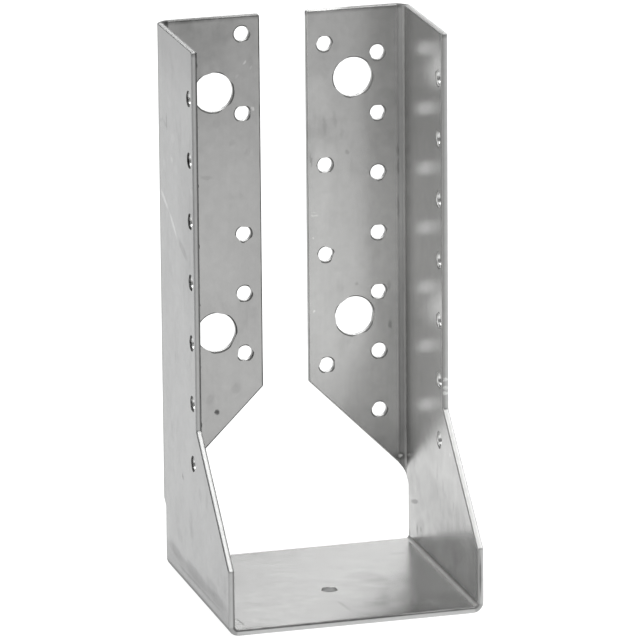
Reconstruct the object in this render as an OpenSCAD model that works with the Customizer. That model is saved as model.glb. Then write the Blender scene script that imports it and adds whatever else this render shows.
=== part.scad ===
// Joist hanger with inward flanges, folded from one steel sheet.
// Origin: middle of the bounding box at the underside of the seat.
// +Z is up, +X is to the right seen from the joist side, and the joist comes in along +Y.

/* [Sheet] */
// Thickness of the galvanised sheet
sheet_t = 2; // [1.5:0.5:2.5]
// Inside radius of the two long folds between a cheek and its flange
fold_inside_r = 2; // [1:0.5:3.5]
// Inside radius of the two folds between the seat and a cheek
seat_inside_r = 1; // [0.5:0.5:3]

/* [Body] */
// Clear width between the cheeks, where the joist sits
joist_w = 80; // [70:1:160]
// Height from the underside of the seat to the top edge
hanger_h = 181; // [179:1:240]
// Depth of the cheeks at the top, from the header face to their front edge
cheek_depth = 45; // [35:0.5:60]
// Depth from the header face to the front edge of the seat
seat_front = 82.5; // [65:0.5:110]
// Step from the end of a long fold forward to the back edge of the seat and the lower cheek
back_step = 1.5; // [0.5:0.5:4]
// Height where the sloped front edge of a cheek meets its upright edge
slope_top = 57; // [40:0.5:80]
// Height where the sloped front edge meets the short upright above the seat
slope_bottom = 21.25; // [12:0.25:35]

/* [Flanges] */
// Width of each flange, from the outer face of its cheek to its free edge
flange_w = 34.25; // [32:0.25:38]
// Height where the free edge of a flange ends and its slanted lower edge starts
flange_bottom = 57; // [50:0.5:61]
// Radius of the cut where the slanted edge turns down through the fold
notch_r = 6; // [3:0.5:8]

/* [Nail holes] */
// Diameter of every nail hole
nail_d = 5; // [4:0.5:6]
// Spacing of the nail holes along a full column
nail_pitch = 20; // [19.5:0.5:21]
// Number of nail holes in a full column
nail_rows = 7; // [3:1:7]
// Distance of the full flange column from the outer face of the cheek
fold_column_in = 10.5; // [8:0.5:12]
// Height of the lowest nail hole of the full flange columns
flange_nail_z = 45.6; // [44:0.1:48]
// Distance of the free edge nail holes from that edge
edge_nail_in = 6; // [5:0.5:8]
// Heights of the free edge nail holes on the right flange
right_edge_nails = [62.2, 99.5, 129.4, 169.7]; // [62:0.1:175]
// Heights of the free edge nail holes on the left flange
left_edge_nails = [68.6, 88.7, 108.6, 148.7, 175]; // [62:0.1:175]
// Distance of the cheek nail holes behind the front edge
cheek_nail_in = 4; // [4:0.5:12]
// Height of the lowest nail hole of the right cheek
right_cheek_nail_z = 45.6; // [36:0.1:56]
// Height of the lowest nail hole of the left cheek
left_cheek_nail_z = 45; // [36:0.1:56]
// Distance of the seat nail hole behind the front edge of the seat
seat_nail_in = 31.5; // [20:0.5:45]

/* [Bolt holes] */
// Diameter of every bolt hole, for an M12 bolt
bolt_d = 13; // [9:0.5:14]
// Distance of the bolt holes from the free edge of the flange
bolt_in = 15.5; // [13:0.5:17]
// Spacing of the two bolt holes of a flange
bolt_pitch = 80; // [76:1:82]
// Height of the lower bolt hole in the right flange
right_bolt_z = 78; // [74:0.1:80]
// Height of the lower bolt hole in the left flange
left_bolt_z = 76.3; // [74:0.1:80]

/* [Hidden] */
$fn = 96;
// The bounding box is centred on the origin in X and Y
header_y = seat_front / 2;
half_w = joist_w / 2 + sheet_t;
fold_outside_r = fold_inside_r + sheet_t;
seat_outside_r = seat_inside_r + sheet_t;
free_edge_x = half_w - flange_w;
front_y = header_y - cheek_depth;
// Sum of x and z along the slanted lower edge of a flange, which runs at 45 degrees
slant_sum = free_edge_x + flange_bottom;
notch_x = joist_w / 2 - notch_r;
notch_z = slant_sum - notch_x - notch_r * sqrt(2);
// Height where the slanted edge leaves the fold and reaches the cheek
fold_end_z = slant_sum - half_w + fold_outside_r - (fold_inside_r + sheet_t / 2) * PI / 2;
fold_y = header_y - fold_outside_r;
back_y = fold_y - back_step;
// How far a cutting shape reaches past what it cuts
over = 1;

// Outline that stands on the X axis, with its two lower corners rounded
module rounded_foot(w, h, r) {
    translate([-w / 2, r]) square([w, h - r]);
    translate([-w / 2 + r, 0]) square([w - 2 * r, r + over]);
    for (s = [-1, 1]) translate([s * (w / 2 - r), r]) circle(r);
}

// Side view of seat and cheek, with Y across and Z up
module side_outline() {
    polygon([
        [-seat_front / 2, 0],
        [back_y, 0],
        [back_y, fold_end_z - back_step],
        [fold_y, fold_end_z],
        [fold_y, hanger_h],
        [front_y, hanger_h],
        [front_y, slope_top],
        [-seat_front / 2, slope_bottom]
    ]);
}

// Seat with the two cheeks folded up from it
module cradle() {
    intersection() {
        translate([0, header_y, 0]) rotate([90, 0, 0]) linear_extrude(seat_front + over) difference() {
            rounded_foot(2 * half_w, hanger_h, seat_outside_r);
            translate([0, sheet_t]) rounded_foot(joist_w, hanger_h, seat_inside_r);
        }
        translate([-half_w - over, 0, 0]) rotate([90, 0, 90])
            linear_extrude(2 * half_w + 2 * over) side_outline();
    }
}

// Plan of a right flange with its fold, with X across and Y up
module flange_plan() {
    translate([free_edge_x, header_y - sheet_t])
        square([flange_w - fold_outside_r, sheet_t]);
    translate([half_w - fold_outside_r, fold_y]) intersection() {
        difference() {
            circle(fold_outside_r);
            circle(fold_inside_r);
        }
        square(fold_outside_r);
    }
}

// Front view of a right flange, with X across and Z up
module flange_front() {
    difference() {
        translate([free_edge_x, 0]) square([flange_w, hanger_h]);
        polygon([
            [free_edge_x - over, flange_bottom + over],
            [notch_x + notch_r / sqrt(2), notch_z + notch_r / sqrt(2)],
            [notch_x, notch_z],
            [notch_x + notch_r, notch_z],
            [notch_x + notch_r, -over],
            [free_edge_x - over, -over]
        ]);
        translate([notch_x, notch_z]) circle(notch_r);
    }
}

// Side view of a flange, with Y across and Z up, cut at 45 degrees where the fold ends
module flange_side() {
    polygon([
        [fold_y, fold_end_z],
        [header_y, fold_end_z + fold_outside_r],
        [header_y, hanger_h],
        [fold_y, hanger_h]
    ]);
}

module flange() {
    intersection() {
        linear_extrude(hanger_h) flange_plan();
        translate([0, header_y + over, 0]) rotate([90, 0, 0])
            linear_extrude(fold_outside_r + 2 * over) flange_front();
        rotate([90, 0, 90]) linear_extrude(half_w + over) flange_side();
    }
}

// Drill through a flange at a height, side is 1 for the right flange and -1 for the left
module flange_drill(side, from_middle, z, d) {
    translate([side * from_middle, header_y + over, z]) rotate([90, 0, 0])
        cylinder(h = sheet_t + 2 * over, d = d);
}

module flange_holes(side, edge_nails, bolt_z) {
    for (row = [0 : nail_rows - 1])
        flange_drill(side, half_w - fold_column_in, flange_nail_z + row * nail_pitch, nail_d);
    for (z = edge_nails)
        flange_drill(side, free_edge_x + edge_nail_in, z, nail_d);
    for (z = [bolt_z, bolt_z + bolt_pitch])
        flange_drill(side, free_edge_x + bolt_in, z, bolt_d);
}

module cheek_holes(side, lowest_z) {
    for (row = [0 : nail_rows - 1])
        translate([side * (half_w + over), front_y + cheek_nail_in, lowest_z + row * nail_pitch])
            rotate([0, -side * 90, 0]) cylinder(h = sheet_t + 2 * over, d = nail_d);
}

module hanger() {
    color([0.72, 0.73, 0.73]) difference() {
        union() {
            cradle();
            flange();
            mirror([1, 0, 0]) flange();
        }
        flange_holes(1, right_edge_nails, right_bolt_z);
        flange_holes(-1, left_edge_nails, left_bolt_z);
        cheek_holes(1, right_cheek_nail_z);
        cheek_holes(-1, left_cheek_nail_z);
        translate([0, seat_nail_in - seat_front / 2, -over])
            cylinder(h = sheet_t + 2 * over, d = nail_d);
    }
}

hanger();
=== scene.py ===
import math
import bpy
import numpy as np
from mathutils import Matrix, Vector
from mathutils.geometry import delaunay_2d_cdt


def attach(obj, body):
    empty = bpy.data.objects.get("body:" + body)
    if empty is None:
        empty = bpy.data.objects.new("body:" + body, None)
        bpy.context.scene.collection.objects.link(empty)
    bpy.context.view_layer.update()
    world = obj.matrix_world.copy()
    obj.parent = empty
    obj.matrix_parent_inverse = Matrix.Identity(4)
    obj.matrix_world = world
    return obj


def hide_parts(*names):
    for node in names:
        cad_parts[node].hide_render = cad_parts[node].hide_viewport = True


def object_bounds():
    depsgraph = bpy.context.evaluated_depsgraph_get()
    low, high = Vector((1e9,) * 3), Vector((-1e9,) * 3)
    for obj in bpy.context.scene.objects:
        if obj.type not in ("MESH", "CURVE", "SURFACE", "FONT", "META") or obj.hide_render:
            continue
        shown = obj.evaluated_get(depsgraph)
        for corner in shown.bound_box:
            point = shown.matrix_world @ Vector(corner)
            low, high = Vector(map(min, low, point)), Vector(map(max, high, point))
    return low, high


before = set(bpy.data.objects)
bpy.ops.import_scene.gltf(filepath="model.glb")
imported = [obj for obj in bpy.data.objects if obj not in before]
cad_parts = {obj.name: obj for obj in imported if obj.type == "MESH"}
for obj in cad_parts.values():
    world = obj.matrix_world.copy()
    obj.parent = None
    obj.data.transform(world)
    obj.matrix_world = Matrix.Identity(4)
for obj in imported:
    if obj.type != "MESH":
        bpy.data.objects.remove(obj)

cad_low, cad_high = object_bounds()

# The viewpoint. The photo was taken from the front left and slightly above with a long lens,
# so the two cheeks stay almost parallel in the picture. Position and turn were fitted to the
# holes and corners of the hanger.
photo_px, lens_px = 640, 7342.4
sensor_mm = 36
eye = (-0.61475, -2.16758, 0.72734)
to_right = (0.96133, -0.27526, -0.00831)
to_below = (-0.08270, -0.25979, -0.96212)
to_scene = (0.26267, 0.92560, -0.27251)
camera_data = bpy.data.cameras.new("camera")
camera_data.sensor_width = sensor_mm
camera_data.lens = lens_px * sensor_mm / photo_px
camera_data.clip_start, camera_data.clip_end = 0.05, 60
camera = bpy.data.objects.new("camera", camera_data)
camera.matrix_world = Matrix([
    (to_right[0], -to_below[0], -to_scene[0], eye[0]),
    (to_right[1], -to_below[1], -to_scene[1], eye[1]),
    (to_right[2], -to_below[2], -to_scene[2], eye[2]),
    (0, 0, 0, 1)])
bpy.context.scene.collection.objects.link(camera)
bpy.context.scene.camera = camera

# The blank. The hanger starts as one flat piece of 2 mm galvanised sheet, sheared to an outline
# that is the same left and right. U runs across it over the seat and up both cheeks, V from the
# front edge of the seat back into the flanges. Both lie in the middle of the sheet, in millimetres.
half_w, seat_back, height = (round(1000 * at, 2) for at in cad_high)
seat_front = -seat_back
sheet_t = 2.0
seat_inside_r, fold_inside_r = 1.0, 2.0
cheek_depth, flange_w = 45.0, 34.25
slope_low, slope_high = 21.25, 57.0
flange_foot, back_step = 57.0, 1.5
corner_r = 0.8
cheek_front = seat_back - cheek_depth
free_edge_x = half_w - flange_w
seat_fold_mid = seat_inside_r + sheet_t / 2
long_fold_mid = fold_inside_r + sheet_t / 2
seat_edge = half_w - sheet_t / 2 - seat_fold_mid
seat_arc = seat_fold_mid * math.pi / 2
cheek_start = seat_edge + seat_arc
fold_v = seat_back - sheet_t / 2 - long_fold_mid
long_arc = long_fold_mid * math.pi / 2
flange_start = fold_v + long_arc
flange_x = half_w - sheet_t / 2 - long_fold_mid


def up_cheek(z):
    """U of a height on a cheek or a flange."""
    return cheek_start + z - seat_fold_mid - sheet_t / 2


def across_flange(x):
    """V of a distance from the middle of the hanger on a flange."""
    return flange_start + flange_x - x


free_v = across_flange(free_edge_x)
back_v = fold_v - back_step
notch_z = flange_foot - (free_v - back_v)
right_corners = [
    (up_cheek(slope_low), seat_front),
    (up_cheek(slope_high), cheek_front),
    (up_cheek(height), cheek_front),
    (up_cheek(height), free_v),
    (up_cheek(flange_foot), free_v),
    (up_cheek(notch_z), back_v)]
corners = right_corners + [(-u, v) for u, v in reversed(right_corners)]
corner_steps, seat_facets, long_facets = 4, 12, 16
seat_lines = [seat_edge + seat_arc * k / seat_facets for k in range(seat_facets + 1)]
long_lines = [fold_v + long_arc * k / long_facets for k in range(long_facets + 1)]
edge_start, edge_end, point_gap, line_gap, corner_gap = 1.5, 0.5, 2.0, 0.4, 1.0
least_slant, least_step, same_point = 1e-9, 0.01, 1e-7


def unit(vector):
    return np.array(vector) / np.linalg.norm(vector)


def turned(vector, angle):
    c, s = math.cos(angle), math.sin(angle)
    return np.array([c * vector[0] - s * vector[1], s * vector[0] + c * vector[1]])


def fold_lines_met(end, way, normal, reach):
    """Where a straight edge meets the fold lines: how far along, way into the metal, and line."""
    both_seat_folds = [side * u for u in seat_lines for side in (-1, 1)]
    met = []
    for axis, lines, along in ((0, both_seat_folds, (0.0, 1.0)), (1, long_lines, (1.0, 0.0))):
        if abs(way[axis]) < least_slant or (axis == 1 and abs(end[0]) < cheek_start):
            continue
        for at in lines:
            t = (at - end[axis]) / way[axis]
            if least_step < t < reach:
                met.append((t, np.array(along) / (np.array(along) @ normal), (axis, round(at, 6))))
    return met


def sheared_outline():
    """Points round the blank, the way into the metal at each, and the fold line that is met."""
    points, inward, line_of = [], [], []
    count = len(corners)
    for k in range(count):
        before, here, after = (np.array(corners[(k + j) % count]) for j in (-1, 0, 1))
        way_in, way_out = unit(here - before), unit(after - here)
        turn = math.atan2(way_in[0] * way_out[1] - way_in[1] * way_out[0], way_in @ way_out)
        side = math.copysign(1, turn)
        start = here - way_in * corner_r * math.tan(abs(turn) / 2)
        normal = turned(way_in, math.pi / 2)
        centre = start + side * corner_r * normal
        for j in range(corner_steps + 1):
            n = turned(normal, turn * j / corner_steps)
            points.append(centre - side * corner_r * n)
            inward.append(n)
            line_of.append(None)
        end = points[-1]
        normal = turned(way_out, math.pi / 2)
        reach = (after - way_out * corner_gap - end) @ way_out
        stops = fold_lines_met(end, way_out, normal, reach)
        taken = [t for t, _, _ in stops]
        stops += [(t, normal, None) for t in np.arange(edge_start, reach - edge_end, point_gap)
                  if all(abs(t - other) > line_gap for other in taken)]
        for t, n, key in sorted(stops, key=lambda stop: stop[0]):
            points.append(end + way_out * t)
            inward.append(n)
            if key is not None and key[0] == 1:
                key += (math.copysign(1, points[-1][0]),)
            line_of.append(key)
    return np.array(points), np.array(inward), line_of


# The holes, punched while the blank is flat. Seven nail holes run up each cheek behind its front
# edge and seven up each flange beside the fold, with a few more along the free edges, two 13 mm
# bolt holes in each flange and a single nail hole in the seat.
nail_r, bolt_r = 2.5, 6.5
nail_pitch, nail_rows, bolt_pitch = 20.0, 7, 80
seat_nail_in, cheek_nail_in, fold_column_in = 31.5, 4.0, 10.5
edge_nail_in, bolt_in = 6.0, 15.5
flange_nail_z = 45.6
nail_steps, bolt_steps = 48, 96
rows = [nail_pitch * k for k in range(nail_rows)]
cheek_nail_v = cheek_front + cheek_nail_in
fold_column_v = across_flange(half_w - fold_column_in)
holes = [(0.0, seat_front + seat_nail_in, nail_r)]
for side, cheek_nail_z, bolt_z, edge_nails_z in (
        (1, 45.6, 78.0, (62.2, 99.5, 129.4, 169.7)),
        (-1, 45.0, 76.3, (68.6, 88.7, 108.6, 148.7, 175.0))):
    holes += [(side * up_cheek(cheek_nail_z + row), cheek_nail_v, nail_r) for row in rows]
    holes += [(side * up_cheek(flange_nail_z + row), fold_column_v, nail_r) for row in rows]
    holes += [(side * up_cheek(z), free_v - edge_nail_in, nail_r) for z in edge_nails_z]
    holes += [(side * up_cheek(z), free_v - bolt_in, bolt_r) for z in (bolt_z, bolt_z + bolt_pitch)]


def punched_hole(u, v, r):
    """Points round a hole and the way into the metal at each. No fold line passes there."""
    steps = bolt_steps if r == bolt_r else nail_steps
    angle = -2 * math.pi * np.arange(steps) / steps
    ring = np.stack([np.cos(angle), np.sin(angle)], 1)
    return np.array([u, v]) + r * ring, ring, [None] * steps


# The cut edge. Shears and punch enter from the inside of the hanger and roll the sheet over there,
# burnish the first part of the cut and tear the rest, and leave a tight burr radius on the outside.
# The rounding is never quite even along a cut, and less even where the sheet was sheared.
roll_r, punch_r, burr_r = 0.56, 0.50, 0.28
shear_wander, punch_wander = 0.12, 0.04
burr_rings, roll_rings = 6, 9
knot_gap, fewest_knots, widest = 3.5, 6, 1.6
uneven = np.random.default_rng(11)


def edge_profile(roll):
    """Depth into the metal, height in the sheet and tilt of each ring, from the outside in."""
    rings = [(burr_r * (1 - math.sin(tilt)), sheet_t / 2 - burr_r * (1 - math.cos(tilt)), tilt)
             for tilt in np.linspace(0, math.pi / 2, burr_rings)]
    rings += [(roll * (1 - math.sin(tilt)), -sheet_t / 2 + roll * (1 + math.cos(tilt)), tilt)
              for tilt in np.linspace(math.pi / 2, math.pi, roll_rings)]
    return rings


def wander(points, amount):
    """How much wider or narrower than usual the rounding is at each point."""
    step = np.hypot(*(np.roll(points, -1, axis=0) - points).T)
    at = np.concatenate([[0], np.cumsum(step)[:-1]])
    knots = max(fewest_knots, int(step.sum() / knot_gap))
    draw = uneven.normal(0, 1, knots)
    drawn = np.interp(at, np.linspace(0, step.sum(), knots + 1), np.append(draw, draw[0]))
    return 1 + amount * np.clip(drawn, -widest, widest)


contours = [sheared_outline()] + [punched_hole(*hole) for hole in holes]
flat_uv, flat_in, flat_h, flat_tilt, flat_sheared = [], [], [], [], []
ring_start, faces = [], []
for points, inward, _ in contours:
    is_outline = not ring_start
    n = len(points)
    width = wander(points, shear_wander if is_outline else punch_wander)[:, None]
    ring_start.append([])
    for depth, rise, tilt in edge_profile(roll_r if is_outline else punch_r):
        ring_start[-1].append(sum(len(ring) for ring in flat_uv))
        flat_uv.append(points + inward * depth * width)
        flat_in.append(inward / np.linalg.norm(inward, axis=1)[:, None])
        flat_h.append(np.full(n, rise))
        flat_tilt.append(np.full(n, tilt))
        flat_sheared.append(np.full(n, float(is_outline)))
    for near, far in zip(ring_start[-1], ring_start[-1][1:]):
        faces += [(near + i, near + (i + 1) % n, far + (i + 1) % n, far + i) for i in range(n)]
flat_uv, flat_in, flat_h, flat_tilt, flat_sheared = (
    np.concatenate(rings) for rings in (flat_uv, flat_in, flat_h, flat_tilt, flat_sheared))


def inside(points, outline):
    """True for each point that lies in the outline."""
    crossed = np.zeros(len(points), bool)
    for (ax, ay), (bx, by) in zip(outline, np.roll(outline, -1, axis=0)):
        spans = (points[:, 1] > ay) != (points[:, 1] > by)
        with np.errstate(divide="ignore", invalid="ignore"):
            x = ax + (points[:, 1] - ay) * (bx - ax) / (by - ay)
        crossed ^= spans & (points[:, 0] < x)
    return crossed


def skin(ring, reverse):
    """Triangles over one face of the blank, up to that ring, with edges along every fold line."""
    index, borders = [], []
    for (points, _, _), starts in zip(contours, ring_start):
        base, n = len(index), len(points)
        index += [starts[ring] + i for i in range(n)]
        borders += [(base + i, base + (i + 1) % n) for i in range(n)]
    met = {}
    for i, key in enumerate(contours[0][2]):
        if key is not None:
            met.setdefault(key, []).append(i)
    borders += [tuple(pair) for pair in met.values() if len(pair) == 2]
    uv = [tuple(flat_uv[i]) for i in index]
    made, _, triangles, source, _, _ = delaunay_2d_cdt(
        uv, borders, [], 0, same_point, True)
    middle = np.array([np.mean([made[i] for i in triangle], axis=0) for triangle in triangles])
    keep = inside(middle, flat_uv[index[:len(contours[0][0])]])
    for u, v, r in holes:
        keep &= np.hypot(middle[:, 0] - u, middle[:, 1] - v) > r
    for triangle, kept in zip(triangles, keep):
        if kept:
            ids = [index[source[i][0]] for i in triangle]
            faces.append(tuple(reversed(ids)) if reverse else tuple(ids))


skin(0, True)
skin(-1, False)

# The folds. The press brake turns the cheeks up from the seat on a sharp 1 mm radius and the
# flanges inward from the cheeks on 2 mm. The metal at the ends of a fold is squeezed out a little
# on the inside and drawn in on the outside.
seat_swell, long_swell, swell_reach = 0.24, 0.10, 1.0


def bent(past, arc):
    """1 in the middle of a fold and 0 a little outside it, for a distance past the fold's start."""
    return np.sin(np.clip((past + swell_reach) / (arc + 2 * swell_reach), 0, 1) * math.pi) ** 2


def folded(uv, h):
    """Place and directions in the finished hanger of points in the blank."""
    side = np.where(uv[:, 0] < 0, -1.0, 1.0)
    u, v = np.abs(uv[:, 0]), uv[:, 1]
    a = np.clip((u - seat_edge) / seat_fold_mid, 0, math.pi / 2)
    b = np.where(u > cheek_start, np.clip((v - fold_v) / long_fold_mid, 0, math.pi / 2), 0)
    x = np.minimum(u, seat_edge) + seat_fold_mid * np.sin(a)
    x = x - long_fold_mid * (1 - np.cos(b)) - np.maximum(0, v - flange_start) * (b > 0)
    y = np.where(b > 0, fold_v, v) + long_fold_mid * np.sin(b)
    z = seat_fold_mid + sheet_t / 2 - seat_fold_mid * np.cos(a) + np.maximum(0, u - cheek_start)
    outward = np.stack([side * np.sin(a) * np.cos(b), np.sin(b), -np.cos(a)], 1)
    along_u = np.stack([np.cos(a), 0 * a, side * np.sin(a)], 1)
    along_v = np.stack([-side * np.sin(b), np.cos(b), 0 * b], 1)
    squeezed = -h / (sheet_t / 2)
    by_seat_fold = u < cheek_start + swell_reach
    at_back = (v > back_v - swell_reach) & by_seat_fold
    at_front = (v < seat_front + swell_reach) & by_seat_fold
    at_top = u > up_cheek(height) - swell_reach
    slip_v = seat_swell * bent(u - seat_edge, seat_arc) * (
        np.where(at_back, squeezed, 0) - np.where(at_front, squeezed - 1, 0))
    slip_u = long_swell * bent(v - fold_v, long_arc) * np.where(at_top, squeezed - 1, 0)
    place = np.stack([side * x, y, z], 1) + outward * h[:, None]
    place = place + along_v * slip_v[:, None] + along_u * (side * slip_u)[:, None]
    return place, outward, along_u, along_v


place, outward, along_u, along_v = folded(flat_uv, flat_h)
into = along_u * flat_in[:, :1] + along_v * flat_in[:, 1:]
normals = outward * np.cos(flat_tilt)[:, None] - into * np.sin(flat_tilt)[:, None]
normals = normals / np.linalg.norm(normals, axis=1)[:, None]
mesh = bpy.data.meshes.new("folded_sheet")
mesh.from_pydata((place / 1000).tolist(), [], faces)
mesh.shade_smooth()
mesh.normals_split_custom_set_from_vertices(normals.tolist())
for name, kind, field, values in (
        ("blank", "FLOAT_VECTOR", "vector", np.column_stack([flat_uv, flat_h])),
        ("rim", "FLOAT", "value", np.sin(flat_tilt)),
        ("sheared", "FLOAT", "value", flat_sheared)):
    attribute = mesh.attributes.new(name, kind, "POINT")
    attribute.data.foreach_set(field, values.astype(np.float32).ravel())
sheet = bpy.data.objects.new("folded_sheet", mesh)
bpy.context.scene.collection.objects.link(sheet)


# The finish. Hot dip zinc, skin-passed to a satin grey, with a faint cloudy mottle, fine rolling
# streaks and the rubs and scratches of the press shop. Where on the blank a tone lies is given in
# its millimetres, and each tone goes soft over the stretch between two of them.
class Tone:
    """A socket of the finish. Sums, differences and products of tones add Math nodes."""

    tree = None

    def __init__(self, socket):
        self.socket = socket

    @classmethod
    def node(cls, kind, settings, sockets, out=0):
        """Adds a node of that type, sets it up, fills its sockets and gives one of its outputs."""
        made = cls.tree.nodes.new(kind)
        for name, value in settings.items():
            setattr(made, name, value)
        for key, value in sockets.items():
            if isinstance(value, Tone):
                cls.tree.links.new(value.socket, made.inputs[key])
            else:
                made.inputs[key].default_value = value
        return cls(made.outputs[out]) if made.outputs else None

    @classmethod
    def math(cls, operation, *values):
        return cls.node("ShaderNodeMath", {"operation": operation}, dict(enumerate(values)))

    def __add__(self, other):
        return Tone.math("ADD", self, other)

    def __sub__(self, other):
        return Tone.math("SUBTRACT", self, other)

    def __rsub__(self, other):
        return Tone.math("SUBTRACT", other, self)

    def __mul__(self, other):
        return Tone.math("MULTIPLY", self, other)

    __radd__, __rmul__ = __add__, __mul__

    def between(self, low, high):
        """0 up to the low value and 1 from the high one, with a soft step."""
        return Tone.node("ShaderNodeMapRange", {"interpolation_type": "SMOOTHSTEP"},
                         {"Value": self, "From Min": low, "From Max": high}, "Result")

    def band(self, rise_from, rise_to, fall_from, fall_to):
        """1 inside a band and 0 outside it, with a soft step on either side."""
        return self.between(rise_from, rise_to) * (1 - self.between(fall_from, fall_to))


zinc = bpy.data.materials.new("satin_zinc")
zinc.use_nodes = True
zinc.node_tree.nodes.clear()
Tone.tree = zinc.node_tree
on_blank = Tone.node("ShaderNodeAttribute", {"attribute_name": "blank"}, {}, "Vector")
edge = Tone.node("ShaderNodeAttribute", {"attribute_name": "rim"}, {}, "Fac")
sheared = Tone.node("ShaderNodeAttribute", {"attribute_name": "sheared"}, {}, "Fac")
across, along, level = (
    Tone.node("ShaderNodeSeparateXYZ", {}, {0: on_blank}, axis) for axis in "XYZ")
far_across = Tone.math("ABSOLUTE", across)
inner = 0.5 - level * 0.5


def cloud(scale, stretch=(1, 1, 1), detail=3.0, seed=0.0):
    """Soft noise over the flat blank, scale in cells per millimetre."""
    put = Tone.node("ShaderNodeVectorMath", {"operation": "MULTIPLY"},
                    {0: on_blank, 1: stretch}, "Vector")
    return Tone.node("ShaderNodeTexNoise", {"noise_dimensions": "4D"},
                     {"Vector": put, "W": seed, "Scale": scale, "Detail": detail}, "Fac")


# Tone of the flat sheet: the outside came off the rolls a little duller than the inside.
outer_grey, inner_lift = 0.296, 0.149
mottle = cloud(0.35, detail=4.0, seed=1.0)
patches = cloud(0.05, (1, 1.6, 1), detail=2.0, seed=5.0)
streaks = cloud(1.1, (0.05, 1, 1), detail=2.0, seed=2.0)
smears = cloud(0.16, (0.5, 1, 1), detail=5.0, seed=3.0).between(0.56, 0.74)
dashes = cloud(0.45, detail=3.0, seed=9.0)
blotches = cloud(0.16, detail=1.5, seed=7.0).between(0.35, 0.7)
skin_grey = (outer_grey + inner_lift * inner + 0.11 * (mottle - 0.5) + 0.08 * (patches - 0.5)
             + 0.04 * (streaks - 0.5) - 0.04 * smears)

# Where the parts of the hanger lie on the blank.
top = up_cheek(height)
foot_u, slope_u = up_cheek(slope_low), up_cheek(slope_high)
side_from, side_full = 30.0, 50.0
left = (-1.0 * across).between(side_from, side_full)
right = across.between(side_from, side_full)
on_flange = along.between(fold_v + 1.0, fold_v + 4.0)
in_cheek = far_across.between(45.0, 50.0) * (1 - on_flange)
in_seat_fold = far_across.band(seat_edge, seat_edge + 0.5, cheek_start - 0.5, cheek_start + 0.2)
in_long_fold = along.band(fold_v - 0.5, fold_v + 0.5, flange_start - 0.5, flange_start + 0.3)
on_slope = far_across.band(foot_u - 0.5, foot_u + 0.5, slope_u - 0.5, slope_u + 0.5) * (
    1 - along.between(cheek_front, 0.0))
on_foot = far_across.band(seat_edge, seat_edge + 2.0, foot_u - 0.5, foot_u + 0.5)
at_top = far_across.between(top - 2.0, top - 1.0)

# On the inside the zinc is darker on the seat side of the seat folds and dulled along the top of the
# flanges. Painted shade lies on the flange side of each long fold and in a strip a little before it,
# and a painted highlight right beside the long folds and along the seat's right fold. The left
# flange is a little duller than the right one, and the right cheek is blotchy low down, with painted
# shade.
# Painted shade on the flange side of each long fold and in a strip before it, with a painted
# highlight between them.
by_flange = in_long_fold * along.between(fold_v + 1.0, fold_v + 2.5)
up_the_cheek = far_across.between(60.0, 68.0)
painted_shade_strip = along.band(25.0, 30.0, 31.0, 36.0) * up_the_cheek
painted_highlight_strip = along.band(33.0, 36.0, 38.0, 39.5) * up_the_cheek
# A painted highlight along the inside of the seat's right fold, fading out before the back edge.
painted_fold_highlight = (0.50 * far_across.band(39.4, 41.2, 42.6, 43.6)
               + 0.30 * far_across.band(41.8, 42.4, 42.8, 43.5)) * right * (
                   1 - along.between(back_v - 6.5, back_v - 3.5))
top_band = far_across.between(top - 1.8, top - 0.5) * on_flange
inside_dulling_and_painted_light = (0.30 * by_flange + 0.12 * painted_shade_strip - 0.20 * painted_highlight_strip - painted_fold_highlight
                 + 0.10 * on_flange * left + 0.28 * top_band * (0.2 + 1.6 * dashes))
dark_fold = in_seat_fold * (1 - far_across.between(40.0, 40.6))
# Random blotches low on the right cheek, a cloudy tone that also darkens it on average: painted
# shade of the floor it mirrors.
blotched_and_shaded = right * (1 - far_across.between(75.0, 95.0)) * blotches

# On the outside it is darker towards the top, and on the left round the seat's fold and low on the
# cheek it carries painted shade where the hanger meets the floor.
painted_foot_shade = (0.33 * (1 - far_across.between(44.0, 50.0))
              + 0.14 * (1 - far_across.between(42.5, 44.0)))
outside_darkening_and_shade = 0.18 * far_across.between(top - 22.0, top - 2.0) + painted_foot_shade * left
skin_grey = skin_grey * (1 - inside_dulling_and_painted_light * inner)
skin_grey = skin_grey * (1 - outside_darkening_and_shade * (1 - inner))
skin_grey = skin_grey * (1 - 0.14 * dark_fold * inner)
skin_grey = skin_grey * (1 - 0.12 * inner * blotched_and_shaded)

# Sheared edges: lighter to the outside on the right cheek, and along the top edge, most of all on
# the flanges, torn, with its darkening painted shade against the light from overhead. There is a
# dark line where the shears rolled the sheet over and broke the zinc, and on the left a second one
# beside the burr.
on_cut = edge.between(0.05, 0.4)
torn_and_shaded_top = on_flange * at_top
# The top edge faces the lamps overhead and is darkened there: painted shade, most of all on the
# flanges.
sheared_grey = (0.55 - 0.08 * left + (0.16 * level - 0.10) * right) * (1 - 0.34 * at_top) * (
    1 - 0.35 * torn_and_shaded_top) + (0.10 + 0.2 * torn_and_shaded_top) * (dashes - 0.5)
flange_line = (0.2 * left - 0.5 * at_top * left - 0.4 * right) * on_flange
inner_line = on_cut * (1 - level.between(-0.45, -0.15)) * (1 - (0.7 + 1.5 * right) * on_slope) * (
    0.65 - 0.47 * right - 0.2 * on_foot * left + flange_line)
outer_line = on_cut * level.between(0.45, 0.65) * (0.3 + 0.4 * on_slope - 0.15 * on_foot) * left
sheared_dark = inner_line + outer_line

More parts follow.
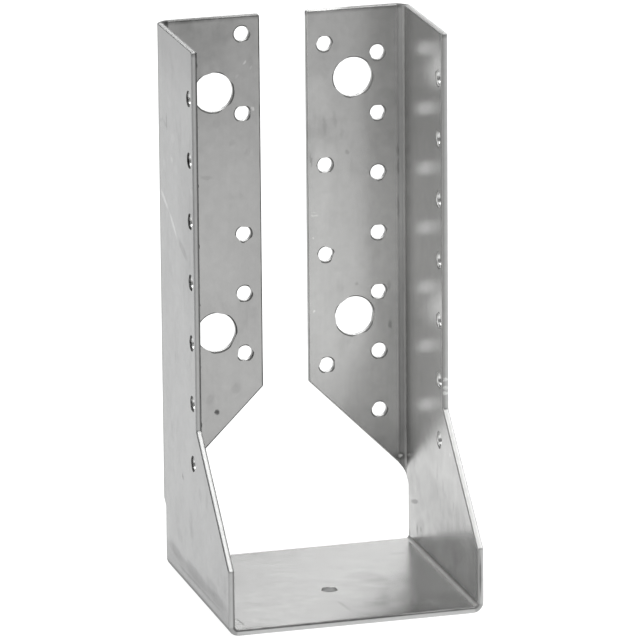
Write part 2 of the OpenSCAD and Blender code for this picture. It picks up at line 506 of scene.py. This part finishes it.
# Punched edges: a dark line in the flanges, and a fainter one in the right cheek, where the punch
# rolled the sheet over, then burnished metal, and a torn and dull outer half.
entry = edge.between(0.0, 0.15) * (1 - level.between(-0.65, -0.45)) * (1 - sheared) * (
    on_flange + 0.45 * in_cheek * right)
torn_half = level.between(0.1, 0.5) * (0.30 + (0.55 * left - 0.05 * right) * in_cheek)
punched_grey = 0.45 + 0.12 * on_flange + (0.35 - 0.08 * right) * in_cheek
punched_dark = 0.42 * entry + on_cut * torn_half
edge_grey = punched_grey + (sheared_grey - punched_grey) * sheared
edge_dark = punched_dark + (sheared_dark - punched_dark) * sheared
grey = (skin_grey + (edge_grey - skin_grey) * edge.between(0.4, 1.0)) * (
    1 - edge_dark * (0.7 + 0.6 * dashes))

# Rubs and scratches of the press shop, and one broad painted shade low on the right cheek. Each is
# drawn between two points of the blank on one of its faces, with its width and how much lighter or
# darker it is, and wavers a little.
inward_face, outward_face, cut_face = -1, 1, 0
waver = 1.4
ragged = Tone.node("ShaderNodeTexNoise", {}, {
    "Vector": on_blank, "Scale": 0.9, "Detail": 2.0}, "Color")
ragged = Tone.node("ShaderNodeVectorMath", {"operation": "MULTIPLY_ADD"},
                   {0: ragged, 1: (waver, waver, 0), 2: on_blank}, "Vector")


def mark(face, start, end, width, change, depth=1.5):
    """A soft streak, at its full strength over the inner half."""
    centre = (np.array(start) + end) / 2 + waver / 2
    run = np.array(end) - start
    put = Tone.node("ShaderNodeMapping", {"vector_type": "TEXTURE"}, {
        "Vector": ragged, "Location": (centre[0], centre[1], face),
        "Rotation": (0, 0, math.atan2(run[1], run[0])),
        "Scale": (np.hypot(*run) / 2 + width, width, depth)}, "Vector")
    near = Tone.node("ShaderNodeTexGradient", {"gradient_type": "SPHERICAL"},
                     {"Vector": put}, "Fac")
    return change * Tone.math("MINIMUM", 2.0 * near, 1.0)


left_cheek_marks = [
    mark(outward_face, (-165.5, 36.1), (-161.7, 27.5), 1.2, 0.13),
    mark(outward_face, (-160.8, 25.8), (-154.8, 17.0), 1.1, 0.13),
    mark(outward_face, (-154.2, 14.3), (-151.0, 5.2), 2.0, -0.07),
    mark(outward_face, (-192.9, 28.3), (-187.5, 27.4), 0.8, -0.11),
    mark(outward_face, (-192.3, 34.6), (-187.0, 34.9), 1.1, 0.02),
    mark(outward_face, (-49.5, -14.0), (-49.0, -28.0), 3.0, -0.06),
    mark(outward_face, (-46.0, 14.0), (-49.5, 30.0), 3.0, -0.05),
    mark(outward_face, (-179.3, 22.0), (-178.8, 21.3), 1.0, 0.06),
    mark(outward_face, (-174.6, -1.3), (-174.0, -1.7), 0.8, 0.06),
    mark(outward_face, (-189.9, 32.5), (-188.2, 26.8), 0.9, -0.05),
    mark(outward_face, (-188.4, 36.5), (-189.9, 32.5), 0.8, -0.04),
    mark(outward_face, (-187.0, 19.2), (-186.0, 21.0), 2.0, 0.03),
    mark(outward_face, (-176.2, 32.1), (-174.0, 30.0), 2.0, 0.03),
    mark(outward_face, (-76.3, 13.6), (-75.8, 13.3), 0.9, -0.16),
    mark(outward_face, (-76.5, -7.6), (-75.5, -8.0), 2.2, -0.04),
    mark(outward_face, (-61.8, 4.6), (-60.0, 2.0), 3.0, -0.04),
    mark(outward_face, (-55.5, 20.4), (-54.5, 16.0), 2.5, -0.03),
    mark(outward_face, (-48.1, 34.5), (-47.7, 15.0), 2.2, -0.06),
    mark(outward_face, (-47.9, 17.0), (-46.8, -19.4), 2.8, -0.09),
    mark(outward_face, (-46.8, -17.0), (-47.4, -38.1), 2.4, -0.07),
    mark(outward_face, (-48.9, 11.2), (-48.9, 10.8), 0.6, 0.12),
    mark(outward_face, (-43.2, 32.0), (-43.2, -38.0), 0.5, 0.05),
    mark(outward_face, (-190.0, 2.0), (-140.0, 2.0), 14.0, -0.035),
    mark(outward_face, (-44.4, 30.0), (-44.6, -39.0), 0.5, -0.08)]
left_flange_marks = [
    mark(inward_face, (-172.0, 57.0), (-136.0, 57.0), 16.0, 0.03),
    mark(inward_face, (-217.0, 62.0), (-215.0, 60.0), 5.0, -0.05),
    mark(inward_face, (-217.6, 47.0), (-217.6, 44.0), 4.0, -0.05),
    mark(inward_face, (-203.7, 56.2), (-202.0, 56.0), 4.0, 0.05),
    mark(inward_face, (-204.9, 67.4), (-204.3, 66.8), 0.55, 0.16),
    mark(inward_face, (-189.4, 69.4), (-188.8, 69.7), 0.55, 0.18),
    mark(inward_face, (-203.3, 69.3), (-202.6, 69.0), 0.5, 0.07),
    mark(inward_face, (-200.6, 64.6), (-200.0, 64.2), 0.5, 0.05),
    mark(inward_face, (-214.0, 52.0), (-196.0, 50.0), 12.0, -0.07),
    mark(inward_face, (-167.6, 52.3), (-167.4, 55.4), 0.9, -0.05),
    mark(inward_face, (-185.7, 57.7), (-184.5, 57.0), 1.4, -0.02),
    mark(inward_face, (-175.2, 67.9), (-174.4, 67.5), 1.2, -0.03),
    mark(inward_face, (-178.7, 62.8), (-178.0, 62.4), 1.2, -0.03),
    mark(cut_face, (-219.7, 56.0), (-219.7, 74.0), 1.6, 0.06, 1.6),
    mark(inward_face, (-88.9, 56.5), (-88.5, 56.4), 0.9, -0.30),
    mark(inward_face, (-96.5, 63.4), (-95.5, 62.5), 1.8, -0.04),
    mark(inward_face, (-93.6, 54.5), (-92.6, 54.0), 1.6, -0.04)]
right_flange_marks = [
    mark(inward_face, (158.0, 61.0), (102.0, 61.0), 20.0, 0.05),
    mark(inward_face, (194.0, 69.0), (184.0, 69.0), 6.0, 0.05),
    mark(inward_face, (176.0, 70.0), (172.0, 66.0), 5.0, 0.05),
    mark(inward_face, (172.0, 69.0), (150.0, 69.0), 6.0, 0.04),
    mark(inward_face, (168.0, 44.0), (125.0, 44.0), 7.0, 0.06),
    mark(cut_face, (220.1, 74.0), (220.1, 58.0), 1.2, 0.30, 1.3),
    mark(inward_face, (185.1, 66.4), (178.0, 66.2), 0.9, -0.04),
    mark(inward_face, (186.5, 63.1), (181.0, 62.8), 0.9, -0.04),
    mark(inward_face, (180.3, 60.5), (177.1, 60.7), 0.8, -0.04),
    mark(inward_face, (172.6, 58.9), (172.2, 58.9), 0.9, -0.08),
    mark(inward_face, (128.1, 55.9), (127.7, 55.9), 0.8, -0.08),
    mark(inward_face, (172.5, 71.0), (168.1, 71.0), 0.5, -0.10),
    mark(inward_face, (127.8, 44.9), (125.1, 44.9), 0.7, -0.08),
    mark(inward_face, (114.1, 44.7), (112.4, 44.7), 0.8, -0.13),
    mark(inward_face, (173.4, 41.7), (170.1, 41.7), 0.7, -0.10),
    mark(inward_face, (168.5, 41.7), (163.1, 41.7), 0.7, -0.10),
    mark(inward_face, (156.6, 41.7), (148.3, 41.7), 0.7, -0.10),
    mark(inward_face, (152.1, 71.5), (151.7, 68.8), 0.3, 0.10),
    mark(inward_face, (153.0, 70.6), (152.9, 69.4), 0.25, 0.07),
    mark(inward_face, (144.7, 70.6), (144.3, 70.5), 0.4, 0.16),
    mark(inward_face, (120.1, 70.5), (119.7, 70.5), 0.4, 0.16),
    mark(inward_face, (68.3, 38.6), (68.3, 43.6), 1.6, -0.12),
    mark(inward_face, (68.3, 40.4), (68.3, 41.8), 0.7, 0.5)]
right_cheek_marks = [
    # Broad painted shade low on the inside of the right cheek, where it mirrors the floor behind.
    mark(inward_face, (62.0, 28.0), (60.0, -28.0), 14.0, -0.075),
    mark(inward_face, (46.5, 24.0), (50.0, 20.0), 4.0, -0.10),
    mark(inward_face, (218.0, 2.0), (212.0, 2.0), 6.0, 0.05),
    mark(inward_face, (56.0, -31.0), (54.0, -31.0), 7.0, 0.06),
    mark(cut_face, (106.5, cheek_front), (105.6, cheek_front), 0.45, 0.25),
    mark(cut_face, (103.8, cheek_front), (103.0, cheek_front), 0.45, 0.25),
    mark(cut_face, (101.9, cheek_front), (101.2, cheek_front), 0.45, 0.25),
    mark(inward_face, (54.5, 32.6), (56.9, 23.9), 0.9, -0.20),
    mark(inward_face, (41.5, 34.0), (44.0, 34.0), 1.2, -0.20),
    mark(inward_face, (75.7, 2.5), (71.4, 2.6), 1.3, -0.04),
    mark(inward_face, (72.0, -3.7), (68.8, -3.6), 1.3, -0.05),
    mark(inward_face, (68.0, -15.3), (66.0, -15.3), 1.2, -0.06),
    mark(cut_face, (58.0, seat_front), (44.0, seat_front), 1.2, -0.25, 0.4),
    mark(inward_face, (47.9, 25.5), (45.9, 25.5), 0.9, -0.14),
    mark(inward_face, (48.5, 21.3), (48.1, 21.3), 0.9, -0.14),
    mark(inward_face, (49.2, 3.9), (49.0, 3.9), 0.8, -0.12),
    mark(inward_face, (83.3, -11.5), (83.1, -11.5), 0.6, 0.16)]
seat_marks = [
    mark(inward_face, (24.0, -13.0), (17.0, -33.0), 6.0, 0.16),
    mark(inward_face, (9.0, -35.0), (34.0, -35.0), 8.0, 0.13),
    mark(inward_face, (14.0, 2.0), (18.0, -6.0), 6.0, -0.05),
    mark(inward_face, (24.0, -30.0), (33.0, -20.0), 7.0, 0.05),
    mark(inward_face, (26.0, -23.9), (28.0, -34.8), 0.45, 0.12),
    mark(inward_face, (28.0, -34.8), (29.9, -34.2), 0.45, 0.10),
    mark(inward_face, (23.5, -23.1), (22.3, -31.8), 0.4, 0.05),
    mark(inward_face, (37.6, -27.5), (39.8, -27.3), 0.5, 0.12),
    mark(inward_face, (30.3, -40.0), (37.9, -40.1), 0.35, 0.14),
    mark(inward_face, (16.7, -4.8), (20.0, -4.0), 2.6, -0.03),
    mark(inward_face, (-0.8, -21.1), (0.3, -34.4), 0.8, -0.06),
    mark(inward_face, (-36.5, -29.6), (-35.9, -38.0), 0.5, -0.18),
    mark(inward_face, (-37.5, -40.6), (37.5, -40.6), 1.1, -0.05),
    mark(inward_face, (-39.1, -40.3), (-30.1, -39.8), 0.8, -0.10)]
for change in (left_cheek_marks + left_flange_marks + right_flange_marks + right_cheek_marks
               + seat_marks):
    grey = grey + change

# The zinc is a cool grey on the outside and a little warmer on the inside. It is rougher in the
# folds and on the cut edges, save those of the cheek holes, and has a faint spangle in relief.
tint = Tone.node("ShaderNodeCombineColor", {}, {
    "Red": grey * (0.994 + 0.01 * inner), "Green": grey * 1.004,
    "Blue": grey * (1.0 - 0.01 * inner)}, "Color")
rough_edge = edge * (1 - in_cheek * (1 - sheared))
rough = (0.25 + 0.05 * (mottle - 0.5) + 0.03 * (streaks - 0.5) + 0.25 * rough_edge
         + 0.35 * in_seat_fold + 0.45 * in_long_fold + 0.45 * entry)
relief = Tone.node("ShaderNodeBump", {}, {
    "Strength": 1.0, "Distance": 0.000004, "Height": mottle}, "Normal")
surface = Tone.node("ShaderNodeBsdfPrincipled", {}, {
    "Base Color": tint, "Metallic": 1.0, "Roughness": rough, "Normal": relief}, "BSDF")
Tone.node("ShaderNodeOutputMaterial", {}, {"Surface": surface})
mesh.materials.append(zinc)
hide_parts("hanger")
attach(sheet, "root")

# The floor. A white card with a painted glow: it shines by itself, brightest behind the hanger, a
# painted pool of light that washes out the hanger's shadow so that hardly a shadow shows. It is
# larger than anything that the camera or the zinc sees of it, and lies a hair under the seat, so
# that the two never share a plane.
floor_half, floor_z = 4, -0.00005
painted_light_centre = (0.1, 0.35, 0.0)
card = bpy.data.materials.new("white_card")
card.use_nodes = True
card.node_tree.nodes.clear()
Tone.tree = card.node_tree
on_card = Tone.node("ShaderNodeTexCoord", {}, {}, "Object")
far_off = Tone.node("ShaderNodeVectorMath", {"operation": "DISTANCE"},
                    {0: on_card, 1: painted_light_centre}, "Value")
# A painted glow: the card shines by itself, most of all behind the hanger, and less far off.
painted_glow = 0.965 - 0.46 * far_off.between(0.3, 1.5)
painted_glow = Tone.node("ShaderNodeCombineColor", {}, {"Red": painted_glow, "Green": painted_glow, "Blue": painted_glow}, "Color")
paper = Tone.node("ShaderNodeBsdfPrincipled", {}, {
    "Base Color": (0.15, 0.15, 0.15, 1), "Roughness": 0.9,
    "Emission Color": painted_glow, "Emission Strength": 1.0}, "BSDF")
Tone.node("ShaderNodeOutputMaterial", {}, {"Surface": paper})
floor_mesh = bpy.data.meshes.new("floor")
floor_mesh.from_pydata([(floor_half * x, floor_half * y, floor_z)
                        for x, y in ((-1, -1), (1, -1), (1, 1), (-1, 1))], [], [(0, 1, 2, 3)])
floor_mesh.materials.append(card)
floor = bpy.data.objects.new("floor", floor_mesh)
bpy.context.scene.collection.objects.link(floor)

# The light. Soft boxes to the left, behind and overhead in a dim room, placed where the faces of
# the hanger mirror them to the camera. Those round the hanger face it, and those overhead face down.
room = bpy.data.worlds.new("room")
bpy.context.scene.world = room
room.use_nodes = True
room_light = room.node_tree.nodes["Background"].inputs
room_light["Color"].default_value = (1, 1, 1, 1)
room_light["Strength"].default_value = 0.23


def softbox(name, place, aim, size, power):
    """A square box of light at a place, turned to what it lights."""
    lamp = bpy.data.lights.new(name, "AREA")
    lamp.shape, lamp.size, lamp.energy = "SQUARE", size, power
    box = bpy.data.objects.new(name, lamp)
    box.location = place
    box.rotation_mode = "QUATERNION"
    box.rotation_quaternion = (Vector(aim) - Vector(place)).to_track_quat("-Z", "Y")
    bpy.context.scene.collection.objects.link(box)


middle, overhead_z = (0.0, 0.0, 0.1), 1.0
round_size, overhead_size = 0.8, 0.6
for name, place, power in (
        ("left_box", (-1.6, -1.0, 0.6), 16.8), ("rear_right_box", (1.8, 2.2, 0.7), 11.3),
        ("rear_box", (0.0, 2.4, 0.7), 11.2), ("seat_box", (0.9, 2.2, 0.7), 0.7),
        ("near_rear_box", (0.7, 1.2, 0.5), 0.54)):
    softbox(name, place, middle, round_size, power)
for name, x, y, power in (
        ("front_overhead_box", 0.0, -0.2, 5.6), ("rear_overhead_box", 0.0, 0.5, 5.3),
        ("right_overhead_box", 0.7, -0.4, 2.5), ("far_overhead_box", 0.7, 1.2, 5.1),
        ("farthest_overhead_box", 0.7, 1.9, 3.1)):
    softbox(name, (x, y, overhead_z), (x, y, 0.0), overhead_size, power)
bpy.context.scene.view_settings.view_transform = "Standard"
